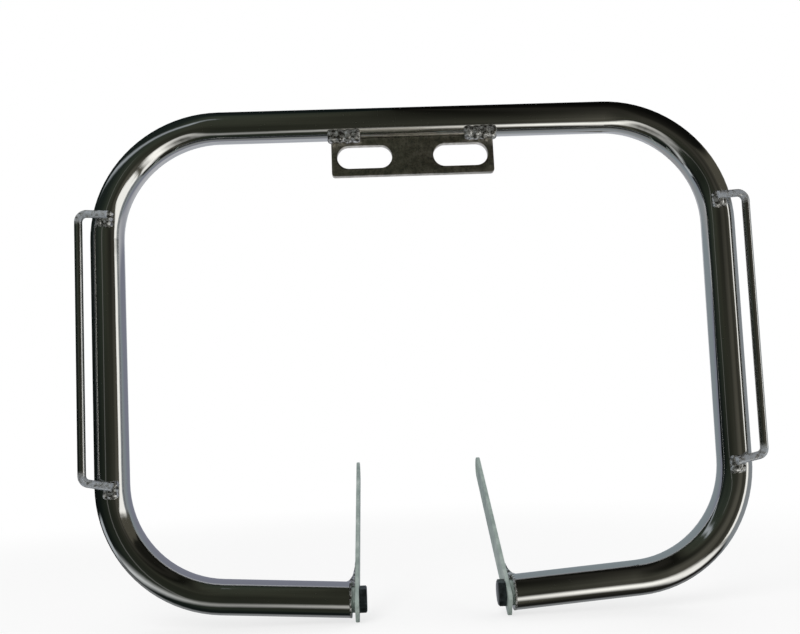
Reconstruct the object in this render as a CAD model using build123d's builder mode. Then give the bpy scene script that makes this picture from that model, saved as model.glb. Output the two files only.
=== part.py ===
from build123d import *
import os
from math import cos, pi, radians, sin, tan

# Motorcycle crash bars: one bent tube hoop with a slotted plate under its top,
# a bent guard rod welded to each side, and a flat strap bolted to each tube end.
# +Z is up, +X is the right side seen from the front, +Y points back to the motorcycle.
# The origin is the middle of the two slots, and the hoop's centreline lies in the plane Y = 0.

# Hoop tube
tube_diameter = 25.4
tube_wall = 2.0
hoop_width = 490.0  # between the side centrelines, at the level of the top
hoop_height = 356.5  # from the top centreline to the foot of each side
side_lean = 1.9  # degrees that each side leans in towards its foot
leg_drop = 3.75  # degrees that each leg falls towards the middle
bend_radius = 87.5  # on the centreline, the same at all four bends
tube_end_gap = 122.0  # between the two tube ends

# Slotted top plate
plate_end_margin = 4.5  # from a slot's end to the plate's end
plate_edge_margin = 6.0  # from a slot's side to the plate's edge
plate_thickness = 5.0
plate_corner_radius = 2.5
slot_length = 44.0
slot_width = 19.0
slot_spacing = 77.0
slot_count = 2

# Side guard rods
rod_diameter = 6.0
rod_bend_radius = 6.0
rod_length = 203.5  # between the corners
rod_reach = 15.6  # along a leg, from where it touches the tube out to the long run
rod_lap = 7.6  # that a leg runs on past where it touches the tube
rod_upper_rise = 3.0  # that the upper leg climbs on its way out
rod_lower_rise = 5.0  # that the lower leg climbs on its way out
rod_turn = 8.0  # degrees from the tube's front to where the legs touch it
rod_middle_drop = 172.0  # from the top centreline to the rod's middle
rod_seat_gap = 0.1  # between leg and tube, closed by the weld

# Lower straps
strap_width = 20.0
strap_thickness = 3.0
strap_hole_pitch = 162.0
strap_near_margin = 15.0  # from the bolt hole to the squared near end
strap_corner_radius = 4.0
strap_rise = 32.0  # degrees that a strap climbs on its way back
frame_hole_diameter = 10.5

# Strap bolts and the nuts in the tube ends
hex_sides = 6
bolt_diameter = 10.0
bolt_hole_clearance = 0.5
head_flats = 17.0
head_height = 5.6
head_turn = 6.5  # degrees that the hexagon is turned about the bolt
head_chamfer_angle = 30.0
bolt_tail = 3.0  # that the shank stands out past the nut
bolt_tip_chamfer = 1.0
nut_flats = 17.0
nut_height = 8.0
nut_stand_out = 4.0  # past the tube end
thread_clearance = 0.1

# Weld beads
ripple_depth = 0.8  # from a bead's crests to its valleys
plate_bead_radius = 5.2
plate_bead_length = 24.5
plate_bead_ripples = 4
plate_bead_overrun = 1.7  # past the plate's end
plate_bead_front = 4.1  # from the plate's front face to the bead's middle
plate_bead_lift = 0.7  # from the plate's top edge up to the bead's middle
rod_bead_radius = 4.1
rod_bead_sink = 4.5  # from a leg's centreline in towards the tube
rod_bead_inset = 2.2  # along a leg, from its tip to the bead across it
rod_bead_rise = 3.3  # from a leg's centreline up to the top of the bead across its tip
rod_tip_bead_length = 11.2
rod_side_bead_drop = 4.4  # from a leg's centreline down to the bead under it
rod_side_bead_length = 5.6
rod_tip_bead_ripples = 3
rod_side_bead_ripples = 2
rim_bead_height = 1.4
end_fillet_foot = 3.5  # along the tube, from its end
end_fillet_rise = 30.0  # up the strap, from the tube's side
end_fillet_width = 12.0
end_fillet_margin = 4.0  # from the strap's upper edge

# Places that follow from the sizes
back = Vector(0, 1, 0)
plate_width = slot_spacing + slot_length + 2 * plate_end_margin
plate_height = slot_width + 2 * plate_edge_margin
tube_radius = tube_diameter / 2
rod_radius = rod_diameter / 2
lean = radians(side_lean)
drop = radians(leg_drop)
top_level = plate_height / 2 + tube_radius
side_top_x = hoop_width / 2
foot_x = side_top_x - hoop_height * tan(lean)
foot_level = top_level - hoop_height
tube_end_x = tube_end_gap / 2
strap_outer_x = tube_end_x - nut_stand_out
strap_inner_x = strap_outer_x - strap_thickness


def leg_level(x):
    """Height of a leg's centreline at the distance x from the middle."""
    return foot_level - (foot_x - x) * tan(drop)


bolt_level = leg_level(tube_end_x)


def hoop(*section):
    """The hoop swept with circles: the first is the outside, a second is the bore."""
    inner_x = tube_end_x - tube_radius
    half = [(side_top_x, top_level), (foot_x, foot_level), (inner_x, leg_level(inner_x))]
    other_half = [(-x, z) for x, z in reversed(half)]
    with BuildPart() as swept:
        with BuildLine(Plane.XZ) as centreline:
            FilletPolyline(*other_half, *half, radius=bend_radius)
        with BuildSketch(Plane(origin=centreline.line @ 0, z_dir=centreline.line % 0)):
            Circle(section[0])
            for bore in section[1:]:
                Circle(bore, mode=Mode.SUBTRACT)
        sweep()
        # The tube ends are cut upright, parallel to the straps
        with Locations((0, 0, bolt_level)):
            Box(tube_end_gap, 2 * tube_diameter, 2 * tube_diameter, mode=Mode.SUBTRACT)
    return swept.part


def bead_run(start, end, radius, ripples):
    """A straight weld bead, with a crest for each dab of the torch."""
    way = end - start
    pitch = way.length / ripples
    valley = radius - ripple_depth
    profile = [(0, 0)]
    for i in range(ripples):
        profile += [(i * pitch, valley), ((i + 1 / 2) * pitch, radius)]
    profile += [(way.length, valley), (way.length, 0)]
    with BuildPart() as bead:
        with BuildSketch(Plane(origin=start, x_dir=way, z_dir=way.cross(back))):
            with BuildLine():
                Polyline(*profile, close=True)
            make_face()
        revolve(axis=Axis(start, way))
    return bead.part


def weld(runs, *neighbours):
    """Weld beads fused and cut back to the faces of the pieces that they join."""
    with BuildPart() as joined:
        for run in runs:
            add(run)
        for neighbour in neighbours:
            add(neighbour, mode=Mode.SUBTRACT)
    return joined.part


def mirrored(piece):
    """The left-hand copy of a right-hand piece."""
    with BuildPart() as copy:
        mirror(piece, about=Plane.YZ)
    return copy.part


# Hoop and its outer form, which the welds are cut to
main_hoop = hoop(tube_radius, tube_radius - tube_wall)
hoop_form = hoop(tube_radius)

# Slotted plate, standing edge on against the underside of the top tube
with BuildPart() as top_plate:
    with BuildSketch(Plane.XZ) as plate_face:
        Rectangle(plate_width, plate_height)
        fillet(plate_face.vertices().group_by(Axis.Y)[0], plate_corner_radius)
        with GridLocations(slot_spacing, 0, slot_count, 1):
            SlotOverall(slot_length, slot_width, mode=Mode.SUBTRACT)
    extrude(amount=plate_thickness / 2, both=True)

# Plate weld: a bead in the front corner between tube and plate, from past the plate's end inwards
plate_bead_start = Vector(
    plate_width / 2 + plate_bead_overrun,
    -plate_thickness / 2 - plate_bead_front,
    plate_height / 2 + plate_bead_lift,
)
plate_bead_end = plate_bead_start - Vector(plate_bead_length, 0, 0)
plate_bead = bead_run(plate_bead_start, plate_bead_end, plate_bead_radius, plate_bead_ripples)
right_plate_weld = weld([plate_bead], hoop_form, top_plate.part)

# Right guard rod, in a plane that touches the tube's front outer side
turn = radians(rod_turn)
side_up = Vector(sin(lean), 0, cos(lean))
outward = Vector(cos(lean), 0, -sin(lean))
away = outward * sin(turn) - back * cos(turn)
leg_way = outward * cos(turn) + back * sin(turn)
side_middle = Vector(side_top_x - rod_middle_drop * tan(lean), 0, top_level - rod_middle_drop)
rod_plane = Plane(
    origin=side_middle + away * (tube_radius + rod_radius + rod_seat_gap),
    x_dir=leg_way,
    z_dir=leg_way.cross(side_up),
)
upper_corner = (rod_reach, rod_length / 2)
lower_corner = (rod_reach, -rod_length / 2)
upper_end = (-rod_lap, upper_corner[1] - rod_upper_rise)
lower_end = (-rod_lap, lower_corner[1] - rod_lower_rise)
with BuildPart() as right_side_rod:
    with BuildLine(rod_plane) as rod_line:
        FilletPolyline(upper_end, upper_corner, lower_corner, lower_end, radius=rod_bend_radius)
    with BuildSketch(Plane(origin=rod_line.line @ 0, z_dir=rod_line.line % 0)):
        Circle(rod_radius)
    sweep()


def rod_weld(leg_end):
    """The weld of one leg end: a bead across its tip and one under it, both down on the tube."""
    tip_x = leg_end[0] + rod_bead_inset
    top_y = leg_end[1] + rod_bead_rise
    side_y = leg_end[1] - rod_side_bead_drop
    courses = [
        ((tip_x, top_y), (tip_x, top_y - rod_tip_bead_length), rod_tip_bead_ripples),
        ((tip_x, side_y), (tip_x + rod_side_bead_length, side_y), rod_side_bead_ripples),
    ]
    runs = []
    for *course, ripples in courses:
        start, end = [rod_plane.from_local_coords(Vector(x, y, -rod_bead_sink)) for x, y in course]
        runs.append(bead_run(start, end, rod_bead_radius, ripples))
    return weld(runs, hoop_form, right_side_rod.part)


right_upper_rod_weld = rod_weld(upper_end)
right_lower_rod_weld = rod_weld(lower_end)

# Right strap: a flat bar on the bolt's axis, squared at the near end and round at the far end
rise = radians(strap_rise)
strap_plane = Plane(origin=(strap_inner_x, 0, bolt_level), x_dir=(0, cos(rise), sin(rise)), z_dir=(1, 0, 0))
with BuildPart() as right_strap:
    with BuildSketch(strap_plane) as strap_face:
        with Locations((strap_hole_pitch / 2 - strap_near_margin / 2, 0)):
            Rectangle(strap_hole_pitch + strap_near_margin, strap_width)
        fillet(strap_face.vertices().group_by(Axis.X)[0], strap_corner_radius)
        with Locations((strap_hole_pitch, 0)):
            Circle(strap_width / 2)
            Circle(frame_hole_diameter / 2, mode=Mode.SUBTRACT)
        Circle((bolt_diameter + bolt_hole_clearance) / 2, mode=Mode.SUBTRACT)
    extrude(amount=strap_thickness)

# Right bolt: its head bears on the strap's inner face, and its shank runs into the nut
bolt_plane = Plane(origin=(strap_inner_x, 0, bolt_level), x_dir=(0, 1, 0), z_dir=(1, 0, 0))
shank_length = strap_thickness + nut_height + bolt_tail
head_inradius = head_flats / 2
head_corner_radius = head_inradius / cos(pi / hex_sides)
head_chamfer_height = (head_corner_radius - head_inradius) * tan(radians(head_chamfer_angle))
head_side = Plane(origin=bolt_plane.origin, x_dir=(0, 1, 0), z_dir=(0, 0, 1))
with BuildPart() as right_strap_bolt:
    with BuildSketch(bolt_plane):
        RegularPolygon(head_inradius, hex_sides, major_radius=False, rotation=head_turn)
    extrude(amount=-head_height)
    # The corners of the head's free face are turned off
    with BuildSketch(head_side):
        with BuildLine():
            Polyline(
                (0, 0),
                (head_corner_radius, 0),
                (head_corner_radius, head_height - head_chamfer_height),
                (head_inradius, head_height),
                (0, head_height),
                close=True,
            )
        make_face()
    revolve(axis=Axis(bolt_plane.origin, bolt_plane.z_dir), mode=Mode.INTERSECT)
    with BuildSketch(bolt_plane):
        Circle(bolt_diameter / 2)
    extrude(amount=shank_length)
    chamfer(faces().sort_by(Axis.X)[-1].edges(), bolt_tip_chamfer)

# Right end nut, held in the mouth of the tube
nut_plane = Plane(origin=(strap_outer_x, 0, bolt_level), x_dir=(0, 1, 0), z_dir=(1, 0, 0))
with BuildPart() as right_end_nut:
    with BuildSketch(nut_plane):
        RegularPolygon(nut_flats / 2, hex_sides, major_radius=False)
        Circle(bolt_diameter / 2 + thread_clearance, mode=Mode.SUBTRACT)
    extrude(amount=nut_height)

# Right end weld: a bead round the rim that holds the nut, and a hollow fillet from the tube up the strap
fillet_plane = Plane(
    origin=(0, 0, bolt_level),
    x_dir=(1, 0, 0),
    z_dir=strap_plane.y_dir,
)
fillet_top = (strap_outer_x, tube_radius + end_fillet_rise)
fillet_foot = (tube_end_x + end_fillet_foot, tube_radius)
with BuildPart() as right_end_weld:
    with BuildSketch(nut_plane.offset(nut_stand_out)):
        Circle(tube_radius)
    extrude(amount=-rim_bead_height)
    with BuildSketch(fillet_plane.offset(strap_width / 2 - end_fillet_margin)):
        with BuildLine():
            Bezier(fillet_top, (strap_outer_x, tube_radius), fillet_foot)
            Polyline(fillet_foot, (fillet_foot[0], 0), (strap_outer_x, 0), fillet_top)
        make_face()
    extrude(amount=-end_fillet_width)
    add(hoop_form, mode=Mode.SUBTRACT)
    with BuildSketch(nut_plane):
        RegularPolygon(nut_flats / 2, hex_sides, major_radius=False)
    extrude(amount=nut_height, mode=Mode.SUBTRACT)

right_pieces = {
    "side_rod": right_side_rod.part,
    "upper_rod_weld": right_upper_rod_weld,
    "lower_rod_weld": right_lower_rod_weld,
    "plate_weld": right_plate_weld,
    "strap": right_strap.part,
    "strap_bolt": right_strap_bolt.part,
    "end_nut": right_end_nut.part,
    "end_weld": right_end_weld.part,
}
pieces = {"main_hoop": main_hoop, "top_plate": top_plate.part}
for name, piece in right_pieces.items():
    pieces["right_" + name] = piece
    pieces["left_" + name] = mirrored(piece)

os.makedirs("parts", exist_ok=True)
for name, piece in pieces.items():
    piece.label = name
    export_step(piece, f"parts/{name}.step")
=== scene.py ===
import math

import bpy
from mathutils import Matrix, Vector


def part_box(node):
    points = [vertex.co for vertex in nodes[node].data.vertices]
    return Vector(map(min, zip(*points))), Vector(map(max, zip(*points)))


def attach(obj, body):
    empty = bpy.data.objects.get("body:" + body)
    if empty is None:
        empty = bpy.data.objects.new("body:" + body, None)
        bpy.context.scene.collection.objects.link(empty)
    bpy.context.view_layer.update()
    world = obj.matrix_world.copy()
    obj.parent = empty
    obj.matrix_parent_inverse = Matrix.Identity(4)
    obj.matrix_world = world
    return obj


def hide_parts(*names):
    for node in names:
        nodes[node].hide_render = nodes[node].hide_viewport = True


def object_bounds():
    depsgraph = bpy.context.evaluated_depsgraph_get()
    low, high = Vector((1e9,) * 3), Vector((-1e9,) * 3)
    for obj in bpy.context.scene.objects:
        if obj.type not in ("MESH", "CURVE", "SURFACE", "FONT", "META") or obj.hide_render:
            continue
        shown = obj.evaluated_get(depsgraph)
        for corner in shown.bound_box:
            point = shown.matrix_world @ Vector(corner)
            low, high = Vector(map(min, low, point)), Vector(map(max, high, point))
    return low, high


# Motorcycle crash bars: a bent chrome hoop with a slotted plate, guard rods, welds and bolted straps.
# Lengths are in metres, in the frame of the solids: +Z up, +Y back to the motorcycle.

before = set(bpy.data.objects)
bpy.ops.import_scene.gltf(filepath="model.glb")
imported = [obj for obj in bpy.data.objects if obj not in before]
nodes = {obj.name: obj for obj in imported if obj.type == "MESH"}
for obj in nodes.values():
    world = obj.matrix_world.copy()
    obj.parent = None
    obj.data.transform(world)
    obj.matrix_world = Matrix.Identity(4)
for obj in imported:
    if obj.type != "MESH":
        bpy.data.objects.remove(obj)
solid_low, solid_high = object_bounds()

SIDES = ("right", "left")
WHITE = (1.0, 1.0, 1.0)
BLACK = (0.0, 0.0, 0.0)
FULL_TURN = 360.0
HALF_TURN = 180.0
DEGREES = math.degrees(1.0)  # in one radian

# Bends of the hoop, which the bending flattened a little on their inner side
TUBE_RADIUS = 0.0127
BEND_RADIUS = 0.0875
LOWER_BEND_DROP = 0.1869  # from the middle of an upper bend down to the middle of the lower one
LOWER_BEND_INSET = 0.0062
BEND_FADE = 0.030  # from a bend's end to its full flattening
FLAT_START = -0.009  # places across the tube, from its centreline outwards
FLAT_RIDGE = -0.003
UPPER_FLAT_END = 0.007
LOWER_FLAT_END = 0.060  # beyond the tube, so that the lower bends hardly slope away outwards
FLAT_HEIGHT = 0.0012

# Chrome of the hoop
CHROME = (0.70, 0.70, 0.68)
CHROME_PIT = (0.42, 0.40, 0.36)
CHROME_BROWNED = (0.72, 0.69, 0.60)
WAVE_HEIGHT = 0.00028
FINE_WAVE_SHARE = 0.12
PIT_LEVELS = (0.74, 0.80)  # high up in the noise, so that pits are rare

# Chrome along the slotted plate, dulled by the heat of welding
HEAT_FADE = 0.006  # on each side of the plate's ends
HEAT_LEVELS = (0.0026, 0.0048)  # above the plate's top edge
HEAT_EDGE = 0.0016  # fade on each side of those levels
HEAT_MIDDLE = (-0.004, 0.020)  # across the plate, where the dulling weakens to the right
HEAT_LOSS = 0.6  # share that is lost there

# Chrome of the guard rods, with a painted blue-grey reflection on their legs
ROD_CHROME = (0.66, 0.66, 0.64)
ROD_LEG_PAINTED_REFLECTION = (0.43, 0.46, 0.49)
UPPER_LEG_DROPS = (0.012, 0.007)  # below the rod's top, where the painted reflection starts and is full
LOWER_LEG_RISES = (0.016, 0.010)  # above the rod's foot
LEG_REFLECTION_LEVELS = (0.20, 0.62)
WEAR_LEVELS = (0.42, 0.62)
ROD_GRAIN = 0.25  # depth of the grain on the long stretch, as a share of that on the legs

# Colours of the other finishes, each at its level of the noise that mottles them
PLATE_STOPS = ((0.41, (0.56, 0.54, 0.48)), (0.50, (0.78, 0.74, 0.65)), (0.59, (1.0, 0.95, 0.86)))
WELD_STOPS = ((0.38, (0.10, 0.095, 0.08)), (0.48, (0.45, 0.45, 0.43)), (0.60, (0.80, 0.80, 0.78)))
ZINC_STOPS = ((0.34, (0.28, 0.34, 0.31)), (0.52, (0.38, 0.45, 0.41)), (0.70, (0.50, 0.56, 0.52)))
BLACK_STOPS = ((0.36, (0.022, 0.028, 0.028)), (0.66, (0.060, 0.074, 0.078)))

# Edges and welds
PLATE_EDGE = 0.0005
STRAP_EDGE = 0.0009
BOLT_EDGE = 0.00035
EDGE_STEPS = 3
SHARP_ANGLE = math.radians(30)
FLAT_ANGLE = math.radians(0.5)  # most that triangles of one flat turn from each other
MERGE_DISTANCE = 0.00001
WELD_VOXEL = 0.00045
WELD_SMOOTHINGS = 4
PLATE_WELD_SMOOTHINGS = 14
SMOOTHING = 0.5  # share of the way to its neighbours' middle that a point goes each time
LUMP_SIZE = 0.0040
LUMP_LAYERS = 2
LUMP_REST = 0.08  # share of the lump pattern that lies below the bead's own surface
ROD_LUMP_HEIGHT = 0.0020
PLATE_LUMP_HEIGHT = 0.0018
FILLET_LUMP_HEIGHT = 0.0005

# Camera
EYE = (-0.0346, -0.6158, -0.2242)
EYE_TURNS = (98.689, 2.345, -1.417)  # degrees about X, Y and Z
LENS = 36.0  # millimetres
SENSOR = 36.0  # width in millimetres
CLIP_START = 0.01

# Floor
FLOOR_GAP = 0.0005
FLOOR_LEVEL = solid_low[2] - FLOOR_GAP
FLOOR_SIZE = 12.0
FLOOR_PAPER = (0.9, 0.9, 0.9)
FLOOR_GLOW = 0.7  # share of plain white in the floor near the object, for the camera only
FLOOR_FADE = (0.45, 1.1)  # distances from the floor's middle between which it turns plain white

# Lamps
AMBIENT = (0.6, 0.6, 0.6)
KEY_PLACE = (-0.7, -1.3, 1.0)
KEY_SIZE = 1.2
KEY_POWER = 17.0
FILL_PLACE = (1.1, 0.9, 0.7)
FILL_SIZE = 1.0
FILL_POWER = 7.0

# Studio tent: a sphere round the object, which only the metal shows
# Bearings are degrees to the right of straight ahead, heights are degrees above the level of its middle.
TENT_RADIUS = 0.72
TENT_MIDDLE = (0.0, 0.0, -0.15)
SPHERE_SEGMENTS = 96
SPHERE_RINGS = 48
PANEL_LIGHT = (1.0, 0.99, 0.965)
SKY_LIGHT = (0.86, 0.93, 1.0)
PANEL_EDGE = 2.5  # fade on each side of a light panel's edges, in degrees
SHADE_TURN = (-25.0, 15.0)  # bearings between which the left shade turns into the right one
PATCH_SCALE = 6.0
PATCH_DIMMEST = 0.8
PATCH_GAIN = 0.4
OPENING_BEARINGS = (50.0, 150.0)
OPENING_HEIGHTS = (-34.0, 34.0)
STRIP_BEARINGS = (-100.0, 84.0)
STRIP_HEIGHT = -49.0
STRIP_RISE = 0.0014  # towards its ends, in degrees for each squared degree of bearing
STRIP_HALF_WIDTH = 7.4
STRIP_SPREAD = 0.045  # growth of that half width for each degree of bearing
STRIP_EDGE = 8.0
LOFT_BEARINGS = (-96.0, -36.0)
LOFT_MIDDLE = -45.0  # bearing of the loft light's highest place
LOFT_HEIGHT = 51.0
LOFT_RISE = -0.0075
LOFT_HALF_WIDTH = 3.0
LOFT_EDGE = 3.5
LOFT_GLOW = 0.45
PORCH_BEARINGS = (-113.0, -93.0)
PORCH_HEIGHTS = (-31.0, -18.0)
PORCH_GLOW = 0.55
SILL_BEARINGS = (-42.0, -39.5)
SILL_HEIGHTS = (-40.0, 30.0)
SILL_GLOW = 0.19
GROUND_LIGHT = (0.26, 0.27, 0.28)
GROUND_HEIGHTS = (-15.0, -45.0)
GROUND_DEPTHS = (0.14, 0.40)  # behind the tent's middle, as shares of its radius
BACK_LIGHT = (0.50, 0.52, 0.57)
BACK_DEPTHS = (0.74, 0.84)

# Yard: a far larger sphere, which the tent's opening looks out on
YARD_RADIUS = 8.0
WINDOW_BEARINGS = (62.0, 79.0)
WINDOW_HEIGHTS = (-30.0, 18.0)
WINDOW_GLOW = 1.2
HAZE_BEARINGS = (79.0, 150.0)
HAZE_HEIGHTS = (-60.0, 18.0)
HAZE_GLOW = 0.32

# Card that leans behind the hoop and glows by itself, with painted light that is paler towards its top
CARD_HALF_WIDTH = 0.215
CARD_TOP = (0.020, -0.005)  # Y and Z of its upper edge
CARD_FOOT = (0.185, -0.330)
CARD_LEFT = (0.24, 0.25, 0.315)
CARD_RIGHT = (0.27, 0.315, 0.345)
CARD_TOP_LEFT = (0.55, 0.56, 0.60)
CARD_TOP_RIGHT = (0.36, 0.365, 0.385)
CARD_TURN = (-0.30, 0.30)  # from its middle, as shares of its width
CARD_TOP_FADE = (0.33, 0.44)  # from its middle, as shares of its length


class Wire:
    """A value in a shader tree: sums written on it add Math nodes."""

    def __init__(self, finish, socket):
        self.finish = finish
        self.socket = socket

    def maths(self, operation, *values):
        return self.finish.node("ShaderNodeMath", {"operation": operation}, dict(enumerate(values)))

    def __add__(self, other):
        return self.maths("ADD", self, other)

    def __radd__(self, other):
        return self.maths("ADD", other, self)

    def __sub__(self, other):
        return self.maths("SUBTRACT", self, other)

    def __rsub__(self, other):
        return self.maths("SUBTRACT", other, self)

    def __mul__(self, other):
        return self.maths("MULTIPLY", self, other)

    def __rmul__(self, other):
        return self.maths("MULTIPLY", other, self)

    def __abs__(self):
        return self.maths("ABSOLUTE", self)

    def rise(self, start, end):
        """A smooth step: 0 at start and 1 at end, which may be the lower one."""
        sockets = {"Value": self, "From Min": start, "From Max": end}
        return self.finish.node("ShaderNodeMapRange", {"interpolation_type": "SMOOTHSTEP"}, sockets)

    def between(self, bounds, edge):
        """1 between two bounds and 0 outside them, with a fade on each side of a bound."""
        low, high = bounds
        return self.rise(low - edge, low + edge) * self.rise(high + edge, high - edge)


class Finish:
    """A node tree of a material or of the world, with the nodes that a finish needs."""

    def __init__(self, owner):
        owner.use_nodes = True
        self.tree = owner.node_tree
        self.tree.nodes.clear()

    def node(self, kind, settings=None, sockets=None, output=0):
        """Adds a node, sets it up, fills or links its sockets, and returns one output."""
        made = self.tree.nodes.new(kind)
        for name, value in (settings or {}).items():
            if name == "stops":
                self.set_stops(made.color_ramp, value)
            else:
                setattr(made, name, value)
        for name, value in (sockets or {}).items():
            if isinstance(value, Wire):
                self.tree.links.new(value.socket, made.inputs[name])
            else:
                made.inputs[name].default_value = value
        return Wire(self, made.outputs[output]) if len(made.outputs) else None

    def set_stops(self, ramp, stops):
        while len(ramp.elements) < len(stops):
            ramp.elements.new(1.0)
        for element, (place, colour) in zip(ramp.elements, stops):
            element.position = place
            element.color = opaque(colour)

    def place(self):
        return self.node("ShaderNodeTexCoord", output="Object")

    def axes(self, place):
        sockets = {"Vector": place}
        return [self.node("ShaderNodeSeparateXYZ", sockets=sockets, output=axis) for axis in "XYZ"]

    def noise(self, place, scale, detail=2.0, roughness=0.5):
        sockets = {"Vector": place, "Scale": scale, "Detail": detail, "Roughness": roughness}
        return self.node("ShaderNodeTexNoise", sockets=sockets, output="Fac")

    def ramp(self, value, *stops):
        """Colours that follow a value, from stops of a place and a colour."""
        return self.node("ShaderNodeValToRGB", {"stops": stops}, {"Fac": value}, "Color")

    def dial(self, angle, turn, *stops):
        """Colours that follow an angle in degrees, half a turn to each side of nought."""
        placed = [(degrees / turn + 0.5, colour) for degrees, colour in stops]
        return self.ramp(angle * (1.0 / turn) + 0.5, *placed)

    def mix(self, share, first, second):
        """A mix of two colours, whose sockets go by number because a Mix node repeats their names."""
        sockets = {0: share, 6: opaque(first), 7: opaque(second)}
        return self.node("ShaderNodeMix", {"data_type": "RGBA"}, sockets, output=2)

    def bump(self, height, distance, strength):
        sockets = {"Height": height, "Distance": distance, "Strength": strength}
        return self.node("ShaderNodeBump", sockets=sockets, output="Normal")

    def shine(self, colour):
        return self.node("ShaderNodeEmission", sockets={"Color": opaque(colour), "Strength": 1.0})

    def blend(self, share, first, second):
        """A mix of two shaders."""
        return self.node("ShaderNodeMixShader", sockets={0: share, 1: first, 2: second})

    def surface(self, shader):
        self.node("ShaderNodeOutputMaterial", sockets={"Surface": shader})

    def metal(self, sockets):
        self.surface(self.node("ShaderNodeBsdfPrincipled", sockets=sockets))


def opaque(colour):
    """A plain colour with the fourth number that its socket takes, or a wire as it is."""
    return colour if isinstance(colour, Wire) else (*colour, 1.0)


def new_material(name):
    material = bpy.data.materials.new(name)
    return material, Finish(material)


# Finishes

def bend_flat(outward, onward, end):
    """The ridge of one bend, from the two distances to the bend's middle."""
    from_middle = outward.maths("SQRT", outward * outward + onward * onward)
    from_centreline = from_middle - BEND_RADIUS
    ridge = from_centreline.rise(FLAT_START, FLAT_RIDGE) * from_centreline.rise(end, FLAT_RIDGE)
    return ridge * outward.rise(0.0, BEND_FADE) * onward.rise(0.0, BEND_FADE)


def bend_flats(finish):
    """A low ridge along each bend, with the flat that the bending left on its inner side."""
    across, _, up = finish.axes(finish.place())
    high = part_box("main_hoop")[1]
    bend_reach = TUBE_RADIUS + BEND_RADIUS
    outward = abs(across) - (high[0] - bend_reach)
    upward = up - (high[2] - bend_reach)
    upper = bend_flat(outward, upward, UPPER_FLAT_END)
    lower = bend_flat(outward + LOWER_BEND_INSET, -LOWER_BEND_DROP - upward, LOWER_FLAT_END)
    return upper + lower


def weld_heat(finish):
    """The tube's lower side along the slotted plate, dulled and browned by welding."""
    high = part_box("top_plate")[1]
    across, _, up = finish.axes(finish.place())
    beside = abs(across).rise(high[0] + HEAT_FADE, high[0] - HEAT_FADE)
    strength = 1.0 - HEAT_LOSS * across.rise(*HEAT_MIDDLE)
    return beside * strength * (up - high[2]).between(HEAT_LEVELS, HEAT_EDGE)


def bright_chrome():
    """Chrome plating: a mirror with faint waves and a few pits, dulled where the plate is welded on."""
    material, finish = new_material("bright_chrome")
    place = finish.place()
    heat = weld_heat(finish)
    broad_waves = finish.noise(place, scale=24.0, detail=1.0)
    fine_waves = finish.noise(place, scale=110.0, detail=1.0)
    waves = broad_waves + FINE_WAVE_SHARE * fine_waves
    height = WAVE_HEIGHT * waves + FLAT_HEIGHT * bend_flats(finish)
    haze = finish.noise(place, scale=260.0, detail=3.0)
    pits = finish.noise(place, scale=1500.0, detail=1.0).rise(*PIT_LEVELS)
    pitted = finish.mix(pits, CHROME, CHROME_PIT)
    finish.metal({
        "Base Color": finish.mix(heat, pitted, CHROME_BROWNED),
        "Metallic": 1.0,
        "Roughness": 0.04 + 0.06 * haze + 0.25 * pits + 0.30 * heat,
        "Normal": finish.bump(height, distance=1.0, strength=1.0),
    })
    return material


def rod_chrome():
    """The guard rods' chrome: worn dull in patches, with a painted reflection of pale blue-grey light from
    above on the legs.
    """
    material, finish = new_material("rod_chrome")
    low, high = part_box("right_side_rod")
    place = finish.place()
    _, _, up = finish.axes(place)
    upper_leg = up.rise(*(high[2] - drop for drop in UPPER_LEG_DROPS))
    lower_leg = up.rise(*(low[2] + rise for rise in LOWER_LEG_RISES))
    legs = upper_leg + lower_leg
    grime_and_reflection_mottle = finish.noise(place, scale=360.0, detail=3.0)
    # Painted reflection: a mottled blue-grey, less metallic colour on the legs stands in for the pale light
    # above that they mirror
    painted_leg_reflection = legs * grime_and_reflection_mottle.rise(*LEG_REFLECTION_LEVELS)
    worn = (1.0 - legs) * finish.noise(place, scale=55.0).rise(*WEAR_LEVELS)
    grain = grime_and_reflection_mottle * (ROD_GRAIN + (1.0 - ROD_GRAIN) * legs)
    finish.metal({
        "Base Color": finish.mix(painted_leg_reflection, ROD_CHROME, ROD_LEG_PAINTED_REFLECTION),
        "Metallic": 1.0 - 0.5 * painted_leg_reflection,
        "Roughness": 0.09 + 0.08 * grime_and_reflection_mottle + 0.16 * worn + 0.20 * painted_leg_reflection,
        "Normal": finish.bump(grain, distance=0.0004, strength=0.16),
    })
    return material


def grained_chrome():
    """Plating on rolled plate: duller, with a brownish speckle."""
    material, finish = new_material("grained_chrome")
    place = finish.place()
    speckle = finish.noise(place, scale=900.0, detail=4.0, roughness=0.65)
    scuffs = finish.noise(place, scale=230.0, detail=3.0, roughness=0.6)
    cloud = finish.noise(place, scale=60.0, detail=3.0)
    mottle = 0.35 * speckle + 0.45 * scuffs + 0.20 * cloud
    finish.metal({
        "Base Color": finish.ramp(mottle, *PLATE_STOPS),
        "Metallic": 1.0,
        "Roughness": 0.22 + 0.14 * speckle + 0.20 * scuffs,
        "Normal": finish.bump(speckle, distance=0.0004, strength=0.35),
    })
    return material


def weld_metal():
    """Weld bead, plated over with the rest: bright, with dirt left on it in spots."""
    material, finish = new_material("weld_metal")
    place = finish.place()
    grit = finish.noise(place, scale=900.0, detail=3.0, roughness=0.6)
    dirt = finish.noise(place, scale=380.0)
    finish.metal({
        "Base Color": finish.ramp(dirt, *WELD_STOPS),
        "Metallic": 0.9,
        "Roughness": 0.16 + 0.22 * grit,
        "Normal": finish.bump(grit, distance=0.0006, strength=0.3),
    })
    return material


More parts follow.
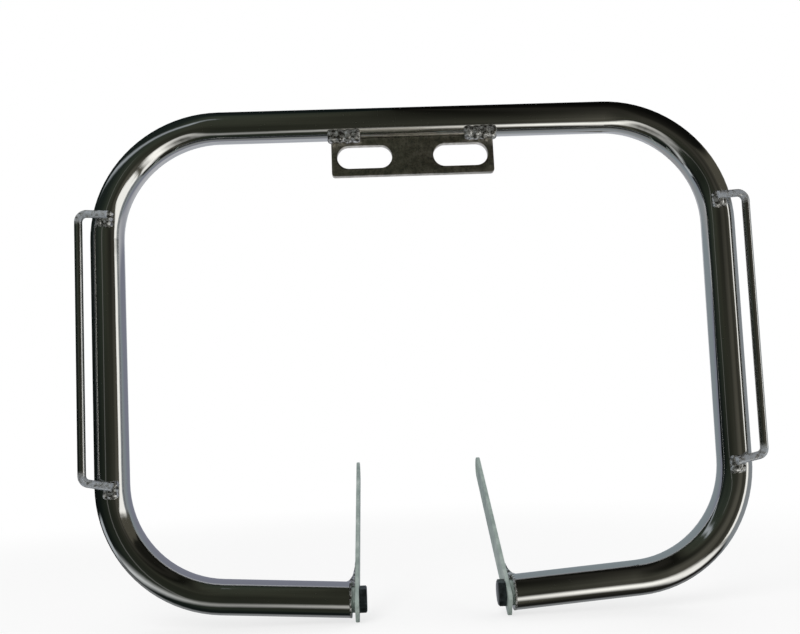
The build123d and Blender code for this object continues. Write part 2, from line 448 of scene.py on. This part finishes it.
def zinc_plate():
    """Dull zinc on flat bar, grey with a green cast, blotched by handling."""
    material, finish = new_material("zinc_plate")
    place = finish.place()
    cloud = finish.noise(place, scale=90.0, detail=4.0, roughness=0.6)
    grit = finish.noise(place, scale=1600.0)
    finish.metal({
        "Base Color": finish.ramp(cloud, *ZINC_STOPS),
        "Metallic": 0.3,
        "Roughness": 0.34 + 0.22 * cloud,
        "Normal": finish.bump(grit, distance=0.0003, strength=0.25),
    })
    return material


def blackened_steel():
    """Oiled black finish of the strap bolts, with a faint blue cast."""
    material, finish = new_material("blackened_steel")
    place = finish.place()
    cloud = finish.noise(place, scale=240.0, detail=3.0)
    grit = finish.noise(place, scale=1800.0)
    finish.metal({
        "Base Color": finish.ramp(cloud, *BLACK_STOPS),
        "Metallic": 0.7,
        "Roughness": 0.26 + 0.2 * grit,
        "Normal": finish.bump(grit, distance=0.0002, strength=0.2),
    })
    return material


# Pieces

def select_only(piece):
    """Makes one object the active and only selected one."""
    bpy.ops.object.select_all(action="DESELECT")
    piece.select_set(True)
    bpy.context.view_layer.objects.active = piece


def apply(piece, kind, **settings):
    """Adds a modifier, sets it up and applies it."""
    select_only(piece)
    modifier = piece.modifiers.new(kind.lower(), kind)
    for name, value in settings.items():
        setattr(modifier, name, value)
    bpy.ops.object.modifier_apply(modifier=modifier.name)


def merged_copy(node, name):
    """A copy of a solid's mesh with its loose triangles joined and its flats made whole."""
    piece = bpy.data.objects.new(name, nodes[node].data.copy())
    bpy.context.scene.collection.objects.link(piece)
    select_only(piece)
    bpy.ops.mesh.customdata_custom_splitnormals_clear()
    bpy.ops.object.mode_set(mode="EDIT")
    bpy.ops.mesh.select_all(action="SELECT")
    bpy.ops.mesh.remove_doubles(threshold=MERGE_DISTANCE)
    bpy.ops.mesh.dissolve_limited(angle_limit=FLAT_ANGLE)
    bpy.ops.object.mode_set(mode="OBJECT")
    return piece


def dress(piece, node, material):
    """Lets a piece stand for its solid, with its finish."""
    piece.data.materials.clear()
    piece.data.materials.append(material)
    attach(piece, "root")
    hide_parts(node)


def break_edges(node, name, edge, material):
    """A flat or hexagon piece with its sharp edges broken, as cut or forged metal has them."""
    piece = merged_copy(node, name)
    apply(piece, "BEVEL", width=edge, segments=EDGE_STEPS, limit_method="ANGLE", angle_limit=SHARP_ANGLE)
    select_only(piece)
    bpy.ops.object.shade_smooth_by_angle(angle=SHARP_ANGLE)
    dress(piece, node, material)


def grow_weld(node, name, height, smoothings, material, lumps):
    """A weld bead grown from its solid into the lumps that the torch left."""
    piece = merged_copy(node, name)
    apply(piece, "REMESH", mode="VOXEL", voxel_size=WELD_VOXEL)
    apply(piece, "DISPLACE", texture=lumps, strength=height, mid_level=LUMP_REST, texture_coords="LOCAL")
    apply(piece, "SMOOTH", factor=SMOOTHING, iterations=smoothings)
    select_only(piece)
    bpy.ops.object.shade_smooth()
    dress(piece, node, material)


def lump_pattern():
    lumps = bpy.data.textures.new("weld_lumps", "CLOUDS")
    lumps.noise_scale = LUMP_SIZE
    lumps.noise_depth = LUMP_LAYERS
    return lumps


def finish_crash_bars():
    """Gives the hoop and the rods their chrome, and every other solid a finished piece."""
    chrome = bright_chrome()
    rods = rod_chrome()
    plate = grained_chrome()
    weld = weld_metal()
    zinc = zinc_plate()
    black = blackened_steel()
    lumps = lump_pattern()
    nodes["main_hoop"].material_slots[0].material = chrome
    break_edges("top_plate", "slotted_plate", PLATE_EDGE, plate)
    for side in SIDES:
        nodes[f"{side}_side_rod"].material_slots[0].material = rods
        break_edges(f"{side}_strap", f"{side}_flat_bar", STRAP_EDGE, zinc)
        break_edges(f"{side}_strap_bolt", f"{side}_hex_bolt", BOLT_EDGE, black)
        break_edges(f"{side}_end_nut", f"{side}_tube_nut", BOLT_EDGE, zinc)
        bead = f"{side}_plate_weld"
        grow_weld(bead, f"{bead}_bead", PLATE_LUMP_HEIGHT, PLATE_WELD_SMOOTHINGS, weld, lumps)
        for end in ("upper", "lower"):
            bead = f"{side}_{end}_rod_weld"
            grow_weld(bead, f"{bead}_bead", ROD_LUMP_HEIGHT, WELD_SMOOTHINGS, weld, lumps)
        fillet = f"{side}_end_weld"
        grow_weld(fillet, f"{side}_end_fillet", FILLET_LUMP_HEIGHT, WELD_SMOOTHINGS, weld, lumps)


# Studio

def only_in_reflections(piece):
    """Keeps a studio panel out of the picture and out of the light, so that only metal shows it."""
    piece.visible_camera = False
    piece.visible_diffuse = False
    piece.visible_transmission = False
    piece.visible_volume_scatter = False
    piece.visible_shadow = False


def on_sphere(finish, radius):
    """A place on a studio sphere: its bearing, its height, and its depth behind the middle in radii."""
    across, along, up = finish.axes(finish.place())
    bearing = across.maths("ARCTAN2", across, 0.0 - along) * DEGREES
    height = up.maths("ARCSINE", up * (1.0 / radius)) * DEGREES
    return bearing, height, along * (1.0 / radius)


def panel(bearing, height, bearings, heights):
    """A soft-edged field of a studio sphere, between two bearings and two heights."""
    return bearing.between(bearings, PANEL_EDGE) * height.between(heights, PANEL_EDGE)


def band(bearing, off_middle, half_width, bearings, edge):
    """A long soft-edged field, from how far a place is off its middle line."""
    outside = abs(off_middle) - half_width
    return outside.rise(edge, -edge) * bearing.between(bearings, edge)


def lit(colour, strength):
    """A light's colour at a strength."""
    return tuple(part * strength for part in colour)


def grey(level):
    return (level, level, level)


def bare_cloth(finish, bearing, height):
    """Dark olive cloth, shaded from side to side and from foot to top."""
    olive = finish.dial(
        bearing,
        FULL_TURN,
        (-129.6, (0.009, 0.014, 0.014)),
        (-79.2, (0.018, 0.025, 0.022)),
        (-50.4, (0.045, 0.056, 0.042)),
        (-14.4, (0.054, 0.057, 0.042)),
        (18.0, (0.054, 0.054, 0.042)),
        (30.6, (0.112, 0.108, 0.088)),
        (41.4, (0.128, 0.122, 0.098)),
        (52.2, (0.066, 0.064, 0.051)),
        (86.4, (0.024, 0.024, 0.021)),
    )
    left_shade = finish.dial(
        height,
        HALF_TURN,
        (-36.0, grey(0.55)),
        (-14.4, grey(0.42)),
        (-5.4, grey(0.42)),
        (10.8, grey(0.66)),
        (21.6, grey(0.78)),
        (64.8, grey(0.88)),
        (84.6, grey(0.50)),
    )
    right_shade = finish.dial(
        height,
        HALF_TURN,
        (-30.6, grey(0.60)),
        (-12.6, grey(0.85)),
        (-1.8, grey(0.66)),
        (7.2, grey(0.60)),
        (19.8, grey(0.42)),
        (41.4, grey(0.22)),
        (66.6, grey(0.15)),
    )
    shade = finish.mix(bearing.rise(*SHADE_TURN), left_shade, right_shade)
    return finish.mix(shade, BLACK, olive)


def strip_light(finish, bearing):
    """The long strip's light: cool at its left end, dimmest left of the middle, brightest on the right."""
    return finish.dial(
        bearing,
        FULL_TURN,
        (-93.6, (0.86, 0.89, 0.91)),
        (-57.6, (0.60, 0.61, 0.61)),
        (-32.4, (0.39, 0.39, 0.38)),
        (0.0, (0.66, 0.65, 0.63)),
        (36.0, (1.34, 1.32, 1.27)),
        (79.2, (1.15, 1.13, 1.10)),
    )


def tent_cloth():
    """The tent's inside: its cloth, pale ground and back, four lights, and a clear opening on the right."""
    material, finish = new_material("tent_cloth")
    bearing, height, depth = on_sphere(finish, TENT_RADIUS)
    light = bare_cloth(finish, bearing, height)
    ground = depth.rise(*GROUND_DEPTHS) * height.rise(*GROUND_HEIGHTS)
    light = finish.mix(ground, light, GROUND_LIGHT)
    light = finish.mix(depth.rise(*BACK_DEPTHS), light, BACK_LIGHT)
    sill = panel(bearing, height, SILL_BEARINGS, SILL_HEIGHTS)
    light = finish.mix(sill, light, lit(PANEL_LIGHT, SILL_GLOW))
    from_top = bearing - LOFT_MIDDLE
    off_loft = height - LOFT_HEIGHT - LOFT_RISE * from_top * from_top
    loft = band(bearing, off_loft, LOFT_HALF_WIDTH, LOFT_BEARINGS, LOFT_EDGE)
    light = finish.mix(loft, light, lit(SKY_LIGHT, LOFT_GLOW))
    porch = panel(bearing, height, PORCH_BEARINGS, PORCH_HEIGHTS)
    light = finish.mix(porch, light, lit(SKY_LIGHT, PORCH_GLOW))
    off_strip = height - STRIP_HEIGHT - STRIP_RISE * bearing * bearing
    strip_half_width = STRIP_HALF_WIDTH + STRIP_SPREAD * bearing
    strip = band(bearing, off_strip, strip_half_width, STRIP_BEARINGS, STRIP_EDGE)
    light = finish.mix(strip, light, strip_light(finish, bearing))
    patches = PATCH_DIMMEST + PATCH_GAIN * finish.noise(finish.place(), PATCH_SCALE)
    light = finish.node("ShaderNodeVectorMath", {"operation": "SCALE"}, {0: light, "Scale": patches})
    opening = panel(bearing, height, OPENING_BEARINGS, OPENING_HEIGHTS)
    clear = finish.node("ShaderNodeBsdfTransparent")
    finish.surface(finish.blend(opening, finish.shine(light), clear))
    return material


def yard_view():
    """What the tent's opening looks out on: a bright window far off, with haze and dim brown round it."""
    material, finish = new_material("yard_view")
    bearing, height, _ = on_sphere(finish, YARD_RADIUS)
    light = finish.dial(
        bearing,
        FULL_TURN,
        (36.0, (0.036, 0.035, 0.028)),
        (50.4, (0.050, 0.048, 0.038)),
        (59.4, (0.085, 0.080, 0.062)),
    )
    haze = panel(bearing, height, HAZE_BEARINGS, HAZE_HEIGHTS)
    light = finish.mix(haze, light, lit(SKY_LIGHT, HAZE_GLOW))
    window = panel(bearing, height, WINDOW_BEARINGS, WINDOW_HEIGHTS)
    light = finish.mix(window, light, lit(PANEL_LIGHT, WINDOW_GLOW))
    finish.surface(finish.shine(light))
    return material


def build_sphere(name, radius, material):
    bpy.ops.object.select_all(action="DESELECT")
    bpy.ops.mesh.primitive_uv_sphere_add(
        segments=SPHERE_SEGMENTS,
        ring_count=SPHERE_RINGS,
        radius=radius,
        location=TENT_MIDDLE,
    )
    sphere = bpy.context.object
    sphere.name = name
    sphere.data.materials.append(material)
    only_in_reflections(sphere)


def glowing_card():
    """Blue-grey card that glows by itself, with painted light that makes it paler along its top and palest
    at its upper left.
    """
    material, finish = new_material("glowing_card")
    across, upward, _ = finish.axes(finish.place())
    # Painted light: the card glows on its own, brighter towards its top and upper left
    right = across.rise(*CARD_TURN)
    lower = finish.mix(right, CARD_LEFT, CARD_RIGHT)
    upper = finish.mix(right, CARD_TOP_LEFT, CARD_TOP_RIGHT)
    finish.surface(finish.shine(finish.mix(upward.rise(*CARD_TOP_FADE), lower, upper)))
    return material


def build_card():
    """A card that leans behind the hoop, for the tube's inner side to show."""
    bpy.ops.object.select_all(action="DESELECT")
    top = Vector((0.0, *CARD_TOP))
    foot = Vector((0.0, *CARD_FOOT))
    slope = foot - top
    lean = math.atan2(slope.y, -slope.z)
    bpy.ops.mesh.primitive_plane_add(
        size=1.0,
        location=(top + foot) / 2,
        rotation=(math.pi / 2 + lean, 0.0, 0.0),
    )
    card = bpy.context.object
    card.name = "back_card"
    card.scale = (2 * CARD_HALF_WIDTH, slope.length, 1.0)
    card.data.materials.append(glowing_card())
    only_in_reflections(card)


def floor_paper():
    """Pale paper that takes the object's shadow, and that the camera sees turn plain white further off."""
    material, finish = new_material("floor_paper")
    seen = finish.node("ShaderNodeLightPath", output="Is Camera Ray")
    paper = finish.node("ShaderNodeBsdfDiffuse", sockets={"Color": opaque(FLOOR_PAPER)})
    reach = finish.node("ShaderNodeVectorMath", {"operation": "LENGTH"}, {0: finish.place()}, "Value")
    share = FLOOR_GLOW + (1.0 - FLOOR_GLOW) * reach.rise(*FLOOR_FADE)
    finish.surface(finish.blend(share * seen, paper, finish.shine(WHITE)))
    return material


def build_floor():
    bpy.ops.object.select_all(action="DESELECT")
    bpy.ops.mesh.primitive_plane_add(size=FLOOR_SIZE, location=(0.0, 0.0, FLOOR_LEVEL))
    floor = bpy.context.object
    floor.name = "floor"
    floor.data.materials.append(floor_paper())
    floor.visible_glossy = False


def build_world():
    """Plain white to look at, and dimmer as a light on the object."""
    world = bpy.data.worlds.new("studio")
    bpy.context.scene.world = world
    finish = Finish(world)
    camera, glossy, through = (
        finish.node("ShaderNodeLightPath", output=ray)
        for ray in ("Is Camera Ray", "Is Glossy Ray", "Is Transmission Ray")
    )
    shown = camera.maths("MAXIMUM", camera.maths("MAXIMUM", camera, glossy), through)
    light = finish.mix(shown, AMBIENT, WHITE)
    sky = finish.node("ShaderNodeBackground", sockets={"Color": light, "Strength": 1.0})
    finish.node("ShaderNodeOutputWorld", sockets={"Surface": sky})


def add_lamp(name, place, size, power):
    """A soft square lamp that points at the tent's middle and that no metal shows."""
    lamp = bpy.data.lights.new(name, "AREA")
    lamp.size = size
    lamp.energy = power
    holder = bpy.data.objects.new(name, lamp)
    holder.location = place
    holder.rotation_euler = (Vector(TENT_MIDDLE) - Vector(place)).to_track_quat("-Z", "Y").to_euler()
    holder.visible_glossy = False
    bpy.context.scene.collection.objects.link(holder)


def build_camera():
    camera = bpy.data.cameras.new("camera")
    camera.lens = LENS
    camera.sensor_width = SENSOR
    camera.clip_start = CLIP_START
    holder = bpy.data.objects.new("camera", camera)
    holder.location = EYE
    holder.rotation_euler = [math.radians(turn) for turn in EYE_TURNS]
    bpy.context.scene.collection.objects.link(holder)
    bpy.context.scene.camera = holder


finish_crash_bars()
build_sphere("studio_tent", TENT_RADIUS, tent_cloth())
build_sphere("studio_yard", YARD_RADIUS, yard_view())
build_card()
build_floor()
build_world()
add_lamp("key_light", KEY_PLACE, KEY_SIZE, KEY_POWER)
add_lamp("fill_light", FILL_PLACE, FILL_SIZE, FILL_POWER)
build_camera()
bpy.context.scene.view_settings.view_transform = "Standard"
